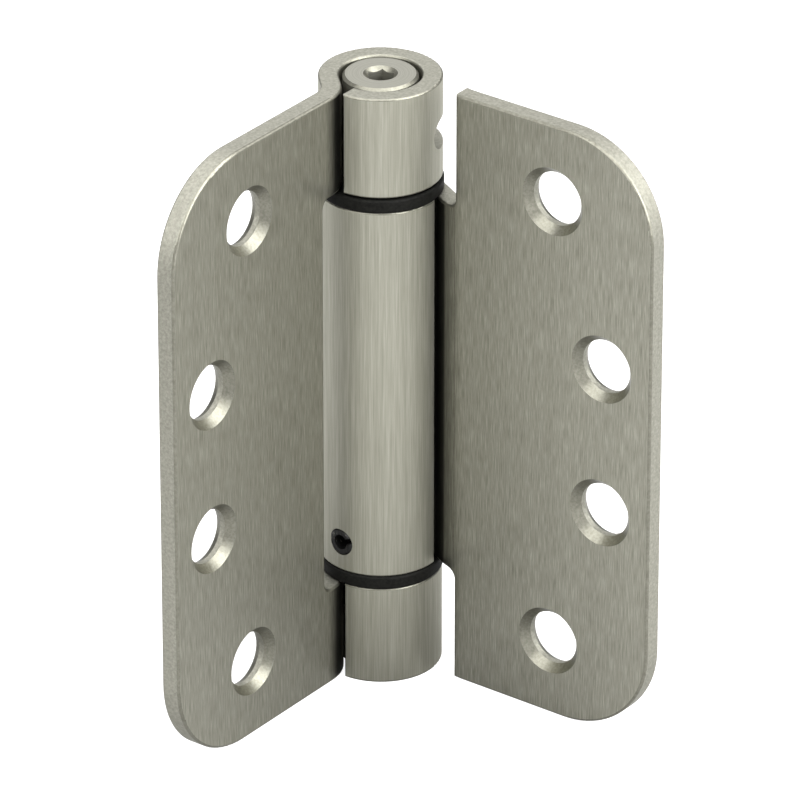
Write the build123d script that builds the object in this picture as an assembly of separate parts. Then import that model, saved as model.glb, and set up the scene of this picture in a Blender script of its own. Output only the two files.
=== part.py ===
from build123d import *
import os
from math import acos, asin, atan2, cos, degrees, hypot, radians, sin, tan

# Spring loaded door hinge, 4 in by 4 in open, with 5/8 in corner radii.
# Two leaves are blanked from steel sheet and curled into three knuckles. The long middle knuckle
# is the spring barrel. It turns on two flanged plastic bearings in line with the end knuckles.
# The origin is on the barrel's axis at the bottom of the hinge, with +Z up along that axis.
# The jamb leaf points along -Y and the door leaf along +X, so the hinge stands half open.
# All sizes are in millimetres and all angles in degrees.

# Leaves
height = 101.6
leaf_width = 50.8
leaf_thickness = 3.2
corner_radius = 15.875
cut_edge = 13.7
notch_radius = 1.5
closed_gap = 1.2
die_roll = 0.45
burr_side_round = 0.3

# Knuckles. The curled sheet leaves the leaf in a reverse bend.
knuckle_radius = 9.6
end_knuckle_length = 16.75
curl_gap = 0.8
jamb_neck_slope = 45.0
jamb_neck_bend = 6.0
door_neck_slope = 28.0
door_neck_bend = 10.0
axial_play = 0.3

# Screw holes, countersunk from the inner face and flared by the punch at the back
countersink_radius = 5.6
countersink_angle = 82.0
hole_radius = 4.4
breakout_radius = 4.8
breakout_depth = 0.9
outer_pair_inset = 18.7
outer_pair_spacing = 76.2
inner_pair_inset = 9.2
inner_pair_spacing = 24.8

# Bearings
flange_radius = 9.8
flange_thickness = 2.2
flange_round = 0.4
hub_length = 6.5
journal_radius = 4.0
running_clearance = 0.05
seat_clearance = 0.03

# Tension adjuster
adjuster_radius = 5.87
adjuster_chamfer = 0.4
hex_across_flats = 4.0
hex_depth = 6.0
hex_mouth_radius = 2.68
pin_hole_count = 4
pin_hole_radius = 2.0
pin_hole_depth = 2.8
slot_drop = 8.95
slot_height = 4.9
slot_start = 110.5
slot_span = 90.0
journal_past_hub = 1.0

# Spring and its anchor
wire_radius = 1.2
coil_radius = 4.6
coil_gap = 0.26
coil_end_room = 0.3
tang_bend = 1.8
tang_length = 5.2
tang_clearance = 0.15
nose_radius = 3.0
nose_length = 3.6
anchor_length = 9.5
anchor_float = 0.5

# Slotted roll pin through the barrel's wall and the anchor
roll_pin_rise = 4.95
roll_pin_radius = 2.2
roll_pin_wall = 0.95
roll_pin_length = 13.2
roll_pin_slit = 0.9
roll_pin_chamfer = 0.3
roll_pin_hole_clearance = 0.03
roll_pin_slit_turn = 20.0
roll_pin_turn = -4.5

# Plug that closes the bottom knuckle
plug_clearance = 0.5
plug_chamfer = 0.5

# Heights and radii that follow from the sizes above
bore_radius = knuckle_radius - leaf_thickness
sheet_radius = knuckle_radius - leaf_thickness / 2
inner_face = closed_gap / 2
sheet_middle = inner_face + leaf_thickness / 2
lower_flange_top = end_knuckle_length + flange_thickness
top_knuckle_base = height - end_knuckle_length
upper_flange_top = top_knuckle_base - axial_play
barrel_top = upper_flange_top - flange_thickness
countersink_depth = (countersink_radius - hole_radius) / tan(radians(countersink_angle / 2))
anchor_base = lower_flange_top + anchor_float
anchor_shoulder = anchor_base + anchor_length
anchor_journal_base = lower_flange_top - flange_thickness - hub_length - journal_past_hub
plug_length = anchor_journal_base - plug_clearance
adjuster_shoulder = barrel_top - hub_length - journal_past_hub
roll_pin_height = lower_flange_top + roll_pin_rise
slot_height_centre = height - slot_drop
pin_hole_turn = slot_start + slot_span / 2 - 90
beyond = 1.0


def polar(radius, angle):
    return Vector(radius * cos(radians(angle)), radius * sin(radians(angle)))


def neck_bend_centre(slope, bend):
    """Where the reverse bend turns, for a neck that meets the barrel in a straight tangent."""
    reach = (sheet_radius * cos(radians(slope)) - sheet_middle) / sin(radians(slope))
    corner = sheet_radius * sin(radians(slope)) + reach * cos(radians(slope))
    return Vector(corner + bend * tan(radians(slope / 2)), -sheet_middle - bend)


def curl_end_angle(slope, bend):
    """The angle at which the curled sheet ends, a named gap short of the neck."""
    centre = neck_bend_centre(slope, bend)
    distance = hypot(centre.X, centre.Y)
    clear = bend + leaf_thickness / 2 + curl_gap
    cosine = (knuckle_radius**2 + distance**2 - clear**2) / (2 * knuckle_radius * distance)
    bend_end = degrees(atan2(centre.Y, centre.X)) + degrees(acos(cosine))
    straight_end = slope - degrees(asin((bore_radius - curl_gap) / knuckle_radius))
    tip = polar(knuckle_radius, bend_end) - centre
    faces_bend = degrees(atan2(tip.Y, tip.X)) <= 90 + slope
    return bend_end if faces_bend else straight_end


def sheet_section(slope, bend):
    """The bent sheet seen along the hinge's axis, with the leaf along +X and its inner face up."""
    centre = neck_bend_centre(slope, bend)
    end = curl_end_angle(slope, bend)
    start = slope - 90
    wrap = 270 + slope - end
    back_face = inner_face + leaf_thickness
    inner_bend = bend + leaf_thickness / 2
    outer_bend = bend - leaf_thickness / 2
    edges = [
        Line((leaf_width, -inner_face), (centre.X, -inner_face)),
        CenterArc(centre, inner_bend, 90, slope),
        Line(centre + polar(inner_bend, 90 + slope), polar(bore_radius, start)),
        CenterArc((0, 0), bore_radius, start, -wrap),
        Line(polar(bore_radius, end), polar(knuckle_radius, end)),
        CenterArc((0, 0), knuckle_radius, end, wrap),
        Line(polar(knuckle_radius, start), centre + polar(outer_bend, 90 + slope)),
        CenterArc(centre, outer_bend, 90 + slope, -slope),
        Line((centre.X, -back_face), (leaf_width, -back_face)),
        Line((leaf_width, -back_face), (leaf_width, -inner_face)),
    ]
    return make_face(edges)


def blank_outline(bands):
    """The flat blank's outline, with a tab for each knuckle, as a thick block to trim with."""
    plate_width = leaf_width - cut_edge
    outline = Pos(cut_edge + plate_width / 2, height / 2) * Rectangle(plate_width, height)
    outline = fillet(outline.vertices().sort_by(Axis.X)[-2:], corner_radius)
    tab_width = cut_edge + knuckle_radius + beyond
    for low, high in bands:
        outline += Pos(cut_edge - tab_width / 2, (low + high) / 2) * Rectangle(tab_width, high - low)
    inner_corners = [
        v for v in outline.vertices()
        if abs(v.X - cut_edge) < 0.01 and 0.01 < v.Y < height - 0.01
    ]
    outline = fillet(inner_corners, notch_radius)
    return extrude(Plane.XZ * outline, knuckle_radius + beyond, both=True)


def screw_hole():
    """The countersunk hole's cutter, with its mouth at the origin and its depth along -Y."""
    depth = leaf_thickness
    profile = Polyline(
        (0, beyond),
        (countersink_radius, beyond),
        (countersink_radius, 0),
        (hole_radius, -countersink_depth),
        (hole_radius, breakout_depth - depth),
        (breakout_radius, -depth),
        (breakout_radius, -depth - beyond),
        (0, -depth - beyond),
        close=True,
    )
    return revolve(make_face(profile), Axis.Y)


def blanked_edges(sheet, slope, bend, side):
    """The edges that the blanking cut left on the inner (1) or outer (-1) side of the sheet."""
    shift = side * leaf_thickness / 2
    centre = neck_bend_centre(slope, bend)
    curl_tip = polar(sheet_radius - shift, curl_end_angle(slope, bend))
    across_neck = polar(1, slope - 90)
    found = []
    for edge in sheet.edges():
        middle = Vector((edge @ 0.5).X, (edge @ 0.5).Y)
        on_leaf = abs(middle.Y + sheet_middle - shift) < 0.01
        on_bend = abs((middle - centre).length - bend - shift) < 0.01
        on_neck = abs(middle.dot(across_neck) - sheet_radius + shift) < 0.01 and middle.X > curl_tip.X / 2
        on_knuckle = abs(middle.length - sheet_radius + shift) < 0.01
        upright = abs((edge @ 1).Z - (edge @ 0).Z) > edge.length - 0.01
        on_edge = min(abs(middle.X - leaf_width), abs(middle.X - cut_edge)) < 0.01
        cut_here = on_edge or (middle - curl_tip).length < 0.01
        if (on_leaf or on_bend or on_neck or on_knuckle) and (cut_here or not upright):
            found.append(edge)
    return found


def formed_leaf(bands, slope, bend):
    """One leaf with its knuckles, lying along +X with its inner face towards +Y."""
    sheet = extrude(sheet_section(slope, bend), height) & blank_outline(bands)
    sheet = fillet(blanked_edges(sheet, slope, bend, 1), die_roll)
    sheet = fillet(blanked_edges(sheet, slope, bend, -1), burr_side_round)
    for inset, spacing in ((outer_pair_inset, outer_pair_spacing), (inner_pair_inset, inner_pair_spacing)):
        for side in (-1, 1):
            place = Pos(leaf_width - inset, -inner_face, height / 2 + side * spacing / 2)
            sheet -= place * screw_hole()
    return sheet


def tension_slot():
    """The round-ended slot that lets the tension pin reach the adjuster through the top knuckle."""
    depth = knuckle_radius - bore_radius + 2 * beyond
    middle = (knuckle_radius + bore_radius) / 2
    band = revolve(Plane.XZ * Pos(middle, 0) * Rectangle(depth, slot_height), Axis.Z, slot_span)
    round_end = Pos(middle, 0) * Rot(0, 90, 0) * Cylinder(slot_height / 2, depth)
    cutter = band + round_end + Rot(0, 0, slot_span) * round_end
    return Pos(0, 0, slot_height_centre) * Rot(0, 0, slot_start) * cutter


def roll_pin_hole(depth):
    """A cross hole from the barrel's outside, on the door leaf's inner side, towards its axis."""
    length = knuckle_radius + beyond + depth
    centre = (depth - knuckle_radius - beyond) / 2
    radius = roll_pin_radius + roll_pin_hole_clearance
    hole = Pos(0, centre, roll_pin_height) * Rot(90, 0, 0) * Cylinder(radius, length)
    return Rot(0, 0, roll_pin_turn) * hole


def jamb_leaf():
    bands = ((0, end_knuckle_length), (top_knuckle_base, height))
    leaf = formed_leaf(bands, jamb_neck_slope, jamb_neck_bend) - tension_slot()
    return Rot(0, 0, -90) * leaf


def door_leaf():
    bands = ((lower_flange_top, barrel_top),)
    leaf = mirror(formed_leaf(bands, door_neck_slope, door_neck_bend), Plane.XZ)
    return leaf - roll_pin_hole(0)


def bearing(flange_top):
    """A flanged bush: the flange spaces the knuckles and the hub fills the bore below it."""
    hub = Cylinder(bore_radius - seat_clearance, hub_length)
    hub = Pos(0, 0, -flange_thickness - hub_length / 2) * hub
    flange = Pos(0, 0, -flange_thickness / 2) * Cylinder(flange_radius, flange_thickness)
    flange = fillet(flange.edges(), flange_round)
    bore = Cylinder(journal_radius + running_clearance, 2 * (flange_thickness + hub_length + beyond))
    return Pos(0, 0, flange_top) * (hub + flange - bore)


def spring_nose(shoulder, direction):
    """The nose inside the coil, pointing up (1) or down (-1), with a flat that the tang lies on."""
    nose = Pos(0, 0, nose_length / 2) * Cylinder(nose_radius, nose_length)
    flat = tang_bend - wire_radius - tang_clearance
    nose -= Pos(0, flat + nose_radius, nose_length / 2) * Box(3 * nose_radius, 2 * nose_radius, nose_length)
    return Pos(0, 0, shoulder) * Rot(0 if direction > 0 else 180, 0, 0) * nose


def tension_adjuster():
    """The turned head with its hex socket and pin holes, on a journal that holds the spring."""
    head_length = height - upper_flange_top
    head = Pos(0, 0, height - head_length / 2) * Cylinder(adjuster_radius, head_length)
    head = chamfer(head.edges().sort_by(Axis.Z)[-1], adjuster_chamfer)
    hexagon = RegularPolygon(hex_across_flats / 2, 6, major_radius=False)
    socket = extrude(Pos(0, 0, height - hex_depth) * hexagon, hex_depth)
    mouth_depth = hex_mouth_radius - hex_across_flats / 2
    mouth = Pos(0, 0, height - mouth_depth / 2) * Cone(hex_across_flats / 2, hex_mouth_radius, mouth_depth)
    head -= socket + mouth
    pin_hole = Rot(0, 90, 0) * Cylinder(pin_hole_radius, pin_hole_depth + beyond)
    pin_hole = Pos(adjuster_radius + (beyond - pin_hole_depth) / 2, 0, slot_height_centre) * pin_hole
    for number in range(pin_hole_count):
        head -= Rot(0, 0, pin_hole_turn + number * 360 / pin_hole_count) * pin_hole
    journal_length = upper_flange_top - adjuster_shoulder
    journal = Pos(0, 0, adjuster_shoulder + journal_length / 2) * Cylinder(journal_radius, journal_length)
    return head + journal + spring_nose(adjuster_shoulder, -1)


def spring_anchor():
    """The plug pinned into the barrel: its journal turns in the lower bearing."""
    body = Cylinder(bore_radius - seat_clearance, anchor_length)
    body = Pos(0, 0, anchor_base + anchor_length / 2) * body
    journal = Cylinder(journal_radius, anchor_base - anchor_journal_base)
    journal = Pos(0, 0, (anchor_base + anchor_journal_base) / 2) * journal
    return body + journal + spring_nose(anchor_shoulder, 1) - roll_pin_hole(knuckle_radius)


def spring_tang(start, heading):
    """A coil's end, bent in square to the coil: start is the coil's end and heading leaves the coil."""
    inward = Vector(-1, 0, 0)
    elbow_centre = start + inward * tang_bend
    elbow_middle = elbow_centre + (heading - inward).normalized() * tang_bend
    elbow_end = elbow_centre + heading * tang_bend
    elbow = ThreePointArc(start, elbow_middle, elbow_end)
    section = Plane(origin=start, z_dir=heading) * Circle(wire_radius)
    tang = extrude(Plane(origin=elbow_end, z_dir=inward) * Circle(wire_radius), tang_length)
    return sweep(section, path=elbow) + tang


def torsion_spring():
    """A left-hand coil, so that it winds tighter as the adjuster loads it, with a tang at each end."""
    low = anchor_shoulder + wire_radius + coil_end_room
    high = adjuster_shoulder - wire_radius - coil_end_room
    turns = int((high - low) / (2 * wire_radius + coil_gap))
    path = Helix((high - low) / turns, high - low, coil_radius, center=(0, 0, low), lefthand=True)
    section = Plane(origin=path @ 0, z_dir=path % 0) * Circle(wire_radius)
    coil = sweep(section, path=path, is_frenet=True)
    return coil + spring_tang(path @ 0, -(path % 0)) + spring_tang(path @ 1, path % 1)


def anchor_roll_pin():
    """A slotted spring pin, flush with the outside of the barrel."""
    pin = Cylinder(roll_pin_radius, roll_pin_length)
    pin = chamfer(pin.edges().filter_by(GeomType.CIRCLE), roll_pin_chamfer)
    pin -= Cylinder(roll_pin_radius - roll_pin_wall, roll_pin_length)
    slit = Pos(roll_pin_radius, 0) * Box(2 * roll_pin_radius, roll_pin_slit, roll_pin_length)
    pin -= Rot(0, 0, roll_pin_slit_turn) * slit
    pin = Pos(0, roll_pin_length / 2 - knuckle_radius, roll_pin_height) * Rot(90, 0, 0) * pin
    return Rot(0, 0, roll_pin_turn) * pin


def bottom_plug():
    """The plug pressed into the bottom knuckle, flush with its lower edge."""
    plug = Pos(0, 0, plug_length / 2) * Cylinder(bore_radius - seat_clearance, plug_length)
    return chamfer(plug.edges().filter_by(GeomType.CIRCLE), plug_chamfer)


pieces = {
    "jamb_leaf": jamb_leaf(),
    "door_leaf": door_leaf(),
    "upper_bearing": bearing(upper_flange_top),
    "lower_bearing": bearing(lower_flange_top),
    "tension_adjuster": tension_adjuster(),
    "torsion_spring": torsion_spring(),
    "spring_anchor": spring_anchor(),
    "anchor_roll_pin": anchor_roll_pin(),
    "bottom_plug": bottom_plug(),
}

os.makedirs("parts", exist_ok=True)
for name, piece in pieces.items():
    export_step(piece, f"parts/{name}.step")
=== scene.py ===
from math import cos, hypot, radians, sin

import bpy
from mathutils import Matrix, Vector


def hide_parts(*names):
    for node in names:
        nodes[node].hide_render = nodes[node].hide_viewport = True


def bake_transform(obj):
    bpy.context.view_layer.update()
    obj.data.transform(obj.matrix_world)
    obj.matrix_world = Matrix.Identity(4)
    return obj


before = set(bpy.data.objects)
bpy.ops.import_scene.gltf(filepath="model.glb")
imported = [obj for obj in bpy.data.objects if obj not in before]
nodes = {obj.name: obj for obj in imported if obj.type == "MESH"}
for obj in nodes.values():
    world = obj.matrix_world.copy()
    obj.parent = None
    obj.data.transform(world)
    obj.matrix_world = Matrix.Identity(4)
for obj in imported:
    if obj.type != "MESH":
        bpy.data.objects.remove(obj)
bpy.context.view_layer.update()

# Spring loaded door hinge. Everything is in metres in the row frame: +Z is the barrel's axis,
# the jamb leaf points along -Y and the door leaf along +X.
mm = 0.001
print("frame loaded:", len(nodes), "nodes")


def linearColour(code):  # "#rrggbb" in sRGB to Blender's linear colour
    parts = [int(code[place:place + 2], 16) / 255 for place in (1, 3, 5)]
    return [part / 12.92 if part <= 0.04045 else ((part + 0.055) / 1.055) ** 2.4 for part in parts] + [1.0]


def addNode(tree, kind, inputs=None, **settings):
    # inputs holds a number, colour or vector for a socket, or the output that is linked to it
    node = tree.nodes.new(kind)
    for name, value in settings.items():
        setattr(node, name, value)
    for socket, value in (inputs or {}).items():
        if isinstance(value, bpy.types.NodeSocket):
            tree.links.new(value, node.inputs[socket])
        else:
            node.inputs[socket].default_value = value
    return node


def startMaterial(name, shaderValues):
    # a material with a Principled shader, whose constant values are set on its own sockets
    material = bpy.data.materials.new(name)
    material.use_nodes = True
    tree = material.node_tree
    tree.nodes.clear()
    shader = addNode(tree, "ShaderNodeBsdfPrincipled", shaderValues)
    output = addNode(tree, "ShaderNodeOutputMaterial")
    tree.links.new(shader.outputs["BSDF"], output.inputs["Surface"])
    return material, tree, shader


def remap(tree, source, low, high, fromLow=0.0, fromHigh=1.0):
    return addNode(tree, "ShaderNodeMapRange", {
        "Value": source, "From Min": fromLow, "From Max": fromHigh, "To Min": low, "To Max": high,
    }).outputs["Result"]


def rampColour(tree, source, stops):  # stops are (place, hex colour) pairs
    ramp = addNode(tree, "ShaderNodeValToRGB", {"Fac": source})
    elements = ramp.color_ramp.elements
    elements[0].position, elements[0].color = stops[0][0], linearColour(stops[0][1])
    elements[1].position, elements[1].color = stops[-1][0], linearColour(stops[-1][1])
    for place, code in stops[1:-1]:
        elements.new(place).color = linearColour(code)
    return ramp.outputs["Color"]


def stretchedNoise(tree, sizes, detail=3.0, roughness=0.6, shift=0.0):
    # noise on the piece's own coordinates, with features this long in mm along X, Y and Z
    place = addNode(tree, "ShaderNodeTexCoord").outputs["Object"]
    mapped = addNode(tree, "ShaderNodeMapping", {
        "Vector": place, "Location": [shift] * 3, "Scale": [1 / (size * mm) for size in sizes],
    })
    return addNode(tree, "ShaderNodeTexNoise", {
        "Vector": mapped.outputs["Vector"], "Scale": 1.0, "Detail": detail, "Roughness": roughness,
    }).outputs["Fac"]


def mathNode(tree, operation, first, second=0.0):
    return addNode(tree, "ShaderNodeMath", {0: first, 1: second}, operation=operation).outputs[0]


def alongBarrel(tree):  # the place on the piece with its height left out, so seen along the barrel
    place = addNode(tree, "ShaderNodeTexCoord").outputs["Object"]
    return addNode(tree, "ShaderNodeVectorMath", {0: place, 1: (1, 1, 0)}, operation="MULTIPLY").outputs[0]


def bump(tree, height, depth):  # depth is the height difference in mm between the noise's ends
    return addNode(tree, "ShaderNodeBump", {"Height": height, "Distance": depth * mm}).outputs["Normal"]


def acrossBrushing(tree):
    # the direction square to the brush lines, which run along Z, so highlights spread sideways
    normal = addNode(tree, "ShaderNodeNewGeometry").outputs["Normal"]
    return addNode(tree, "ShaderNodeVectorMath", {0: normal, 1: (0, 0, 1)},
                   operation="CROSS_PRODUCT").outputs[0]


def applyGrain(tree, shader, grain, values):
    # one pattern sets the roughness and, where values hold them, the colours and the relief
    if "colours" in values:
        tree.links.new(rampColour(tree, grain, values["colours"]), shader.inputs["Base Color"])
    tree.links.new(remap(tree, grain, *values["roughness"]), shader.inputs["Roughness"])
    if "bumpDepth" in values:
        tree.links.new(bump(tree, grain, values["bumpDepth"]), shader.inputs["Normal"])


# The creases between a curl and its leaf, where little light reaches, get a painted shade that darkens the
# leaf's colour.
paintedCreaseShades = {
    # place in mm, seen along the barrel; how far from it the darkest painted shade, the rest of the crease's
    # painted shade and the neck's painted shade reach; and the darkest value and the neck's painted shade
    "jamb": {"place": (-0.9, -9.9, 0.0), "darkReach": 0.7, "shadedReach": 3.2, "neckReach": 4.0,
             "darkest": 0.1, "neckShade": 1.0},
    "door": {"place": (10.0, 1.95, 0.0), "darkReach": 1.1, "shadedReach": 2.3, "neckReach": 5.2,
             "darkest": 0.1, "neckShade": 0.52},
}


# Painted shade: a factor that darkens the colour near each crease and over the door leaf's neck.
def paintCreaseShade(tree):  # 1 on the open faces, less on a shaded neck, down to the darkest value in a crease
    place = alongBarrel(tree)
    shade = 1.0
    for crease in paintedCreaseShades.values():
        distance = addNode(tree, "ShaderNodeVectorMath", {0: place, 1: Vector(crease["place"]) * mm},
                           operation="DISTANCE").outputs["Value"]
        creaseDark = remap(tree, distance, crease["darkest"], 1.0,
                     crease["darkReach"] * mm, crease["shadedReach"] * mm)
        neck = remap(tree, distance, crease["neckShade"], 1.0,
                     crease["shadedReach"] * mm, crease["neckReach"] * mm)
        shade = mathNode(tree, "MINIMUM", mathNode(tree, "MINIMUM", creaseDark, neck), shade)
    return shade


# Satin nickel on steel sheet, brushed along the barrel: a soft olive grey with fine upright streaks.
# The real lines are 0.05 mm wide, and are drawn three times as wide so that they show.
brushedFinishes = {
    "leaf": {
        "lineColours": ((0.3, "#79786c"), (0.5, "#929186"), (0.7, "#abaa9e")),
        "lineSize": (0.15, 0.15, 3.5), "bandSize": (1.2, 1.2, 60.0), "bandShare": 0.12,
        "roughness": (0.36, 0.46), "bumpDepth": 0.003, "creaseShadePainted": True,
    },
    "knuckles": {  # curled after brushing, which opens the lines into longer streaks
        "lineColours": ((0.3, "#88877b"), (0.5, "#9a998d"), (0.7, "#abaa9f")),
        "lineSize": (0.16, 0.16, 9.0), "bandSize": (0.7, 0.7, 60.0), "bandShare": 0.3,
        "roughness": (0.46, 0.56), "bumpDepth": 0.004, "creaseShadePainted": False,
    },
}
brushedNickel = {}
for part, values in brushedFinishes.items():
    brushedNickel[part], tree, shader = startMaterial(
        "satin nickel, brushed " + part, {"Metallic": 1.0, "Anisotropic": 0.6})
    lines = stretchedNoise(tree, values["lineSize"])
    # the shift keeps the broad bands from following the lines
    bands = stretchedNoise(tree, values["bandSize"], detail=2.0, shift=3.7)
    mixed = mathNode(tree, "ADD", mathNode(tree, "MULTIPLY", lines, 1 - values["bandShare"]),
                     mathNode(tree, "MULTIPLY", bands, values["bandShare"]))
    colour = rampColour(tree, mixed, values["lineColours"])
    # The leaf's colour gets the painted crease shade.
    if values["creaseShadePainted"]:
        colour = addNode(tree, "ShaderNodeVectorMath", {0: colour, "Scale": paintCreaseShade(tree)},
                         operation="SCALE").outputs["Vector"]
    tree.links.new(colour, shader.inputs["Base Color"])
    tree.links.new(acrossBrushing(tree), shader.inputs["Tangent"])
    applyGrain(tree, shader, lines, values)

# The cut edges of the blanked sheet under the same plate: duller, with the grain of the fracture.
cutEdge = {
    "colours": ((0.3, "#7c7b71"), (0.5, "#8b8a80"), (0.7, "#9a998f")),
    "grainSize": (0.45, 0.45, 0.45), "roughness": (0.46, 0.6), "bumpDepth": 0.006,
}
shearedNickel, tree, shader = startMaterial("satin nickel, sheared edge", {"Metallic": 1.0})
applyGrain(tree, shader, stretchedNoise(tree, cutEdge["grainSize"], detail=4.0), cutEdge)

# The rounded rims that blanking leaves, and the turned chamfers: smooth plate that catches the light.
rimValues = {
    "colours": ((0.35, "#6b6a60"), (0.65, "#7b7a70")), "grainSize": (0.6, 0.6, 0.6), "roughness": (0.38, 0.5),
}
rimNickel, tree, shader = startMaterial("satin nickel, rolled rim", {"Metallic": 1.0})
applyGrain(tree, shader, stretchedNoise(tree, rimValues["grainSize"]), rimValues)

# Countersinks, cut by a tool and then plated: smoother than the brushed faces, so that the side
# towards the light shines and the rest is dark.
coneValues = {
    "colours": ((0.35, "#6b6a60"), (0.65, "#7b7a70")), "grainSize": (0.4, 0.4, 0.4), "roughness": (0.36, 0.43),
}
coneNickel, tree, shader = startMaterial("satin nickel, countersunk", {"Metallic": 1.0})
applyGrain(tree, shader, stretchedNoise(tree, coneValues["grainSize"]), coneValues)

# Turned steel under satin nickel: fine tool rings round the axis.
turnedValues = {
    "colours": ((0.3, "#86857c"), (0.7, "#94938a")), "ringPitch": 0.22, "roughness": (0.42, 0.54),
    "bumpDepth": 0.008,
}
turnedNickel, tree, shader = startMaterial("satin nickel, turned", {"Metallic": 1.0})
radius = addNode(tree, "ShaderNodeVectorMath", {0: alongBarrel(tree)}, operation="LENGTH").outputs["Value"]
place = addNode(tree, "ShaderNodeTexCoord").outputs["Object"]
height = addNode(tree, "ShaderNodeSeparateXYZ", {0: place}).outputs["Z"]
along = mathNode(tree, "MULTIPLY", mathNode(tree, "ADD", radius, height), 1 / (turnedValues["ringPitch"] * mm))
rings = addNode(tree, "ShaderNodeTexNoise", {"W": along, "Scale": 1.0, "Detail": 3.0},
                noise_dimensions="1D").outputs["Fac"]
applyGrain(tree, shader, rings, turnedValues)

# Black acetal, moulded: matt with a faint grey bloom where it has been handled.
bearingValues = {
    "colours": ((0.35, "#0c0c0b"), (0.65, "#161614")), "grainSize": (0.5, 0.5, 0.5), "roughness": (0.5, 0.6),
    "bumpDepth": 0.01,
}
blackAcetal, tree, shader = startMaterial("acetal, moulded black", {"IOR": 1.48, "Specular IOR Level": 0.05})
applyGrain(tree, shader, stretchedNoise(tree, bearingValues["grainSize"]), bearingValues)

# Spring steel with black oxide: near black, with the steel showing in fine scuffs.
oxideValues = {
    "colours": ((0.3, "#0d0d0c"), (0.62, "#1b1b1a"), (0.74, "#8d8c84")),
    "grainSize": (0.3, 0.3, 1.2), "roughness": (0.3, 0.5),
}
blackOxide, tree, shader = startMaterial("spring steel, black oxide", {"Metallic": 0.6})
applyGrain(tree, shader, stretchedNoise(tree, oxideValues["grainSize"], detail=4.0), oxideValues)

# Oil tempered spring wire: dark brown grey, with a fine grain from drawing.
wireValues = {
    "colours": ((0.3, "#2f2d2a"), (0.7, "#5a5751")), "grainSize": (0.9, 0.9, 0.3), "roughness": (0.3, 0.45),
}
springWire, tree, shader = startMaterial("spring wire, oil tempered", {"Metallic": 1.0})
applyGrain(tree, shader, stretchedNoise(tree, wireValues["grainSize"]), wireValues)
print("materials made")

# Each leaf is one sheet, and each of its faces has one of five finishes.
leafFinishes = {
    "flat": brushedNickel["leaf"], "cut": shearedNickel, "rim": rimNickel, "cone": coneNickel,
    "curl": brushedNickel["knuckles"],
}
leafFaces = {
    # the holes' distances from the axis and from the middle of the height, and other lengths, in mm
    "holes": ((32.1, 38.1), (41.6, 12.4)), "holeReach": 5.75, "legStart": 13.6, "middleHeight": 50.8,
    # how well a face's direction agrees with the leaf's inner face, or with the knuckle's radius
    "cutSide": 0.15, "flatSide": 0.99, "curlSide": 0.98,
}


def finishFaces(node, away, facing):
    # away is the direction in which the leaf points, and facing is square to its inner face
    mesh = nodes[node].data
    mesh.materials.clear()
    for material in leafFinishes.values():
        mesh.materials.append(material)
    for face in mesh.polygons:
        centre, normal = face.center / mm, face.normal
        reach, rise = centre.dot(away), abs(centre.z - leafFaces["middleHeight"])
        nearest = min(hypot(reach - holeReach, rise - holeRise) for holeReach, holeRise in leafFaces["holes"])
        tilt = abs(normal.dot(facing)) if reach > leafFaces["legStart"] else 1 - abs(normal.z)
        if nearest < leafFaces["holeReach"] and tilt < leafFaces["flatSide"]:
            finish = "cone" if tilt > leafFaces["cutSide"] else "cut"
        elif tilt > leafFaces["flatSide"]:
            around = abs(normal.x * centre.x + normal.y * centre.y) / hypot(centre.x, centre.y)
            finish = "curl" if reach < leafFaces["legStart"] and around > leafFaces["curlSide"] else "flat"
        else:
            finish = "cut" if tilt < leafFaces["cutSide"] else "rim"
        face.material_index = list(leafFinishes).index(finish)


finishFaces("jamb_leaf", Vector((0, -1, 0)), Vector((1, 0, 0)))
finishFaces("door_leaf", Vector((1, 0, 0)), Vector((0, -1, 0)))
nodeFinishes = {
    "upper_bearing": blackAcetal, "lower_bearing": blackAcetal, "tension_adjuster": turnedNickel,
    "torsion_spring": springWire, "spring_anchor": turnedNickel, "anchor_roll_pin": blackOxide,
    "bottom_plug": turnedNickel,
}
for node, material in nodeFinishes.items():
    nodes[node].data.materials.clear()
    nodes[node].data.materials.append(material)

# The adjuster's chamfer and the mouth of its socket lean, and have the finish of the rims.
chamferLean = {"least": 0.2, "most": 0.95}
adjusterMesh = nodes["tension_adjuster"].data
adjusterMesh.materials.append(rimNickel)
rimSlot = len(adjusterMesh.materials) - 1
for face in adjusterMesh.polygons:
    if chamferLean["least"] < face.normal.z < chamferLean["most"]:
        face.material_index = rimSlot
print("finishes set")

# In the hinge the torsion spring winds as the door leaf swings: its lower tang goes with the door leaf, and
# its upper tang stays where the pinned adjuster holds it. Here the spring is a copy with its place baked in.
springNode = nodes["torsion_spring"]
windingSpring = bpy.data.objects.new("winding_spring", springNode.data.copy())
bpy.context.scene.collection.objects.link(windingSpring)
windingSpring.matrix_world = springNode.matrix_world
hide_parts("torsion_spring")
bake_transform(windingSpring)

# White paper floor: white for the camera, greyer in the light and the reflections that it gives the
# hinge, with a painted shade near the barrel and painted light in reflections, so that the metal keeps its
# form.
floorValues = {
    "halfSize": 3.0,  # in m
    "seenColour": "#8c8c8c", "cameraLift": 0.9,  # for the camera
    # painted shade: in bounced light and reflections the floor is darker close to the barrel
    "bouncedWithPaintedShade": ((0.015, "#8a8a8a"), (0.09, "#aeaeae"), (0.2, "#9c9c9c")),  # distance in m from the barrel
    # painted light added in reflections only, from the start to the end in m behind and in front of the hinge
    "back": (-0.6, 0.8, 0.0), "backStart": -0.01, "backEnd": 0.02, "backLift": 0.25,
    "frontStart": 0.02, "frontEnd": 0.15, "frontLift": 0.25,
}
mesh = bpy.data.meshes.new("floor")
half = floorValues["halfSize"]
mesh.from_pydata([(-half, -half, 0), (half, -half, 0), (half, half, 0), (-half, half, 0)], [], [(0, 1, 2, 3)])
floor = bpy.data.objects.new("floor", mesh)
bpy.context.scene.collection.objects.link(floor)

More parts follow.
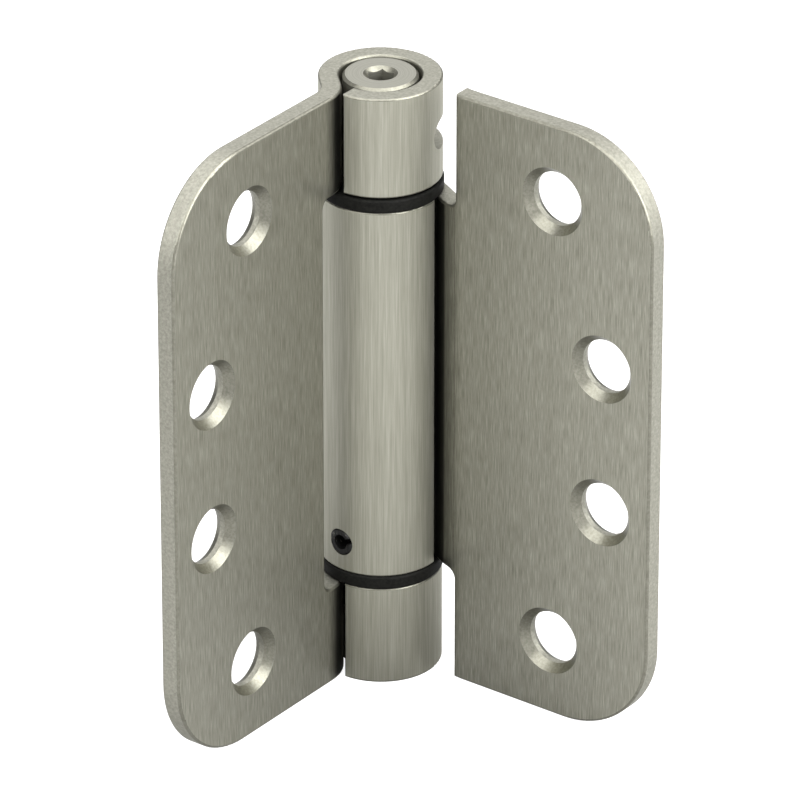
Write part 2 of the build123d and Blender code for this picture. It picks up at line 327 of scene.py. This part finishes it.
floorPaper = bpy.data.materials.new("white paper floor")
floorPaper.use_nodes = True
tree = floorPaper.node_tree
tree.nodes.clear()
lightPath = addNode(tree, "ShaderNodeLightPath").outputs
seen = mathNode(tree, "MAXIMUM", lightPath["Is Camera Ray"], lightPath["Is Transmission Ray"])
place = addNode(tree, "ShaderNodeTexCoord").outputs["Object"]
reach = addNode(tree, "ShaderNodeVectorMath", {0: place}, operation="LENGTH").outputs["Value"]
bouncedWithPaintedShade = rampColour(tree, reach, floorValues["bouncedWithPaintedShade"])
# the mix node's colours are its inputs 6 and 7 and its output 2
colour = addNode(tree, "ShaderNodeMix", {
    0: seen, 6: bouncedWithPaintedShade, 7: linearColour(floorValues["seenColour"]),
}, data_type="RGBA").outputs[2]
paper = addNode(tree, "ShaderNodeBsdfDiffuse", {"Color": colour})
behind = addNode(tree, "ShaderNodeVectorMath", {0: place, 1: floorValues["back"]},
                 operation="DOT_PRODUCT").outputs["Value"]
frontLift = remap(tree, behind, 0.0, floorValues["frontLift"],
                  -floorValues["frontStart"], -floorValues["frontEnd"])
backLift = remap(tree, behind, 0.0, floorValues["backLift"],
                 floorValues["backStart"], floorValues["backEnd"])
# painted light: the floor glows in reflections only, behind and in front of the hinge
mirrored = mathNode(tree, "MULTIPLY", lightPath["Is Glossy Ray"], mathNode(tree, "ADD", frontLift, backLift))
lift = mathNode(tree, "ADD", mathNode(tree, "MULTIPLY", seen, floorValues["cameraLift"]), mirrored)
glow = addNode(tree, "ShaderNodeEmission", {"Strength": lift})
both = addNode(tree, "ShaderNodeAddShader", {0: paper.outputs[0], 1: glow.outputs[0]})
addNode(tree, "ShaderNodeOutputMaterial", {"Surface": both.outputs[0]})
mesh.materials.append(floorPaper)

# The room: strengths of its light on the hinge, in reflections and behind everything for the camera.
roomValues = {"room": 0.25, "mirrored": 0.4, "backdrop": 1.0}
world = bpy.data.worlds.new("studio")
bpy.context.scene.world = world
world.use_nodes = True
tree = world.node_tree
tree.nodes.clear()
lightPath = addNode(tree, "ShaderNodeLightPath").outputs
seen = mathNode(tree, "MAXIMUM", lightPath["Is Camera Ray"], lightPath["Is Transmission Ray"])
mirrored = remap(tree, lightPath["Is Glossy Ray"], roomValues["room"], roomValues["mirrored"])
strength = mathNode(tree, "MAXIMUM", mathNode(tree, "MULTIPLY", seen, roomValues["backdrop"]), mirrored)
room = addNode(tree, "ShaderNodeBackground", {"Color": (1, 1, 1, 1), "Strength": strength})
addNode(tree, "ShaderNodeOutputWorld", {"Surface": room.outputs[0]})

# Six softboxes round the hinge, all aimed at the point that the camera looks at.
aim = Vector((2.377, 1.781, 45.19)) * mm
lampDistance = 1.2
lamps = [
    # azimuth and elevation of the lamp from the hinge in degrees, width and height in m, power in W
    {"name": "overhead softbox", "azimuth": 0, "elevation": 88, "size": (1.2, 1.2), "power": 8},
    {"name": "high front softbox", "azimuth": 0, "elevation": 50, "size": (1.2, 1.2), "power": 17.7},
    {"name": "low front softbox", "azimuth": -5, "elevation": 20, "size": (1.0, 0.7), "power": 9},
    {"name": "right softbox", "azimuth": 90, "elevation": 20, "size": (1.0, 0.7), "power": 25},
    {"name": "back right softbox", "azimuth": 110, "elevation": 50, "size": (1.2, 1.2), "power": 28},
    {"name": "back left softbox", "azimuth": -120, "elevation": 50, "size": (1.2, 1.2), "power": 7},
]


def directionFrom(azimuth, elevation):  # azimuth 0 is on the -Y side and 90 on the +X side
    turn, rise = radians(azimuth), radians(elevation)
    return Vector((sin(turn) * cos(rise), -cos(turn) * cos(rise), sin(rise)))


for lamp in lamps:
    light = bpy.data.lights.new(lamp["name"], "AREA")
    light.shape, light.energy = "RECTANGLE", lamp["power"]
    light.size, light.size_y = lamp["size"]
    holder = bpy.data.objects.new(lamp["name"], light)
    bpy.context.scene.collection.objects.link(holder)
    way = directionFrom(lamp["azimuth"], lamp["elevation"])
    holder.location = aim + way * lampDistance
    holder.rotation_euler = way.to_track_quat("Z", "Y").to_euler()

cameraValues = {
    "azimuth": 36.85, "elevation": 27.60, "distance": 1.3,  # degrees and m
    "lens": 375.0, "sensor": 36.0,  # mm
    "nearest": 0.05, "farthest": 20.0,  # m
}
cameraData = bpy.data.cameras.new("camera")
cameraData.lens, cameraData.sensor_width = cameraValues["lens"], cameraValues["sensor"]
cameraData.clip_start, cameraData.clip_end = cameraValues["nearest"], cameraValues["farthest"]
camera = bpy.data.objects.new("camera", cameraData)
bpy.context.scene.collection.objects.link(camera)
way = directionFrom(cameraValues["azimuth"], cameraValues["elevation"])
camera.location = aim + way * cameraValues["distance"]
camera.rotation_euler = way.to_track_quat("Z", "Y").to_euler()
bpy.context.scene.camera = camera
bpy.context.scene.view_settings.view_transform = "Standard"
print("floor, lamps and camera set")
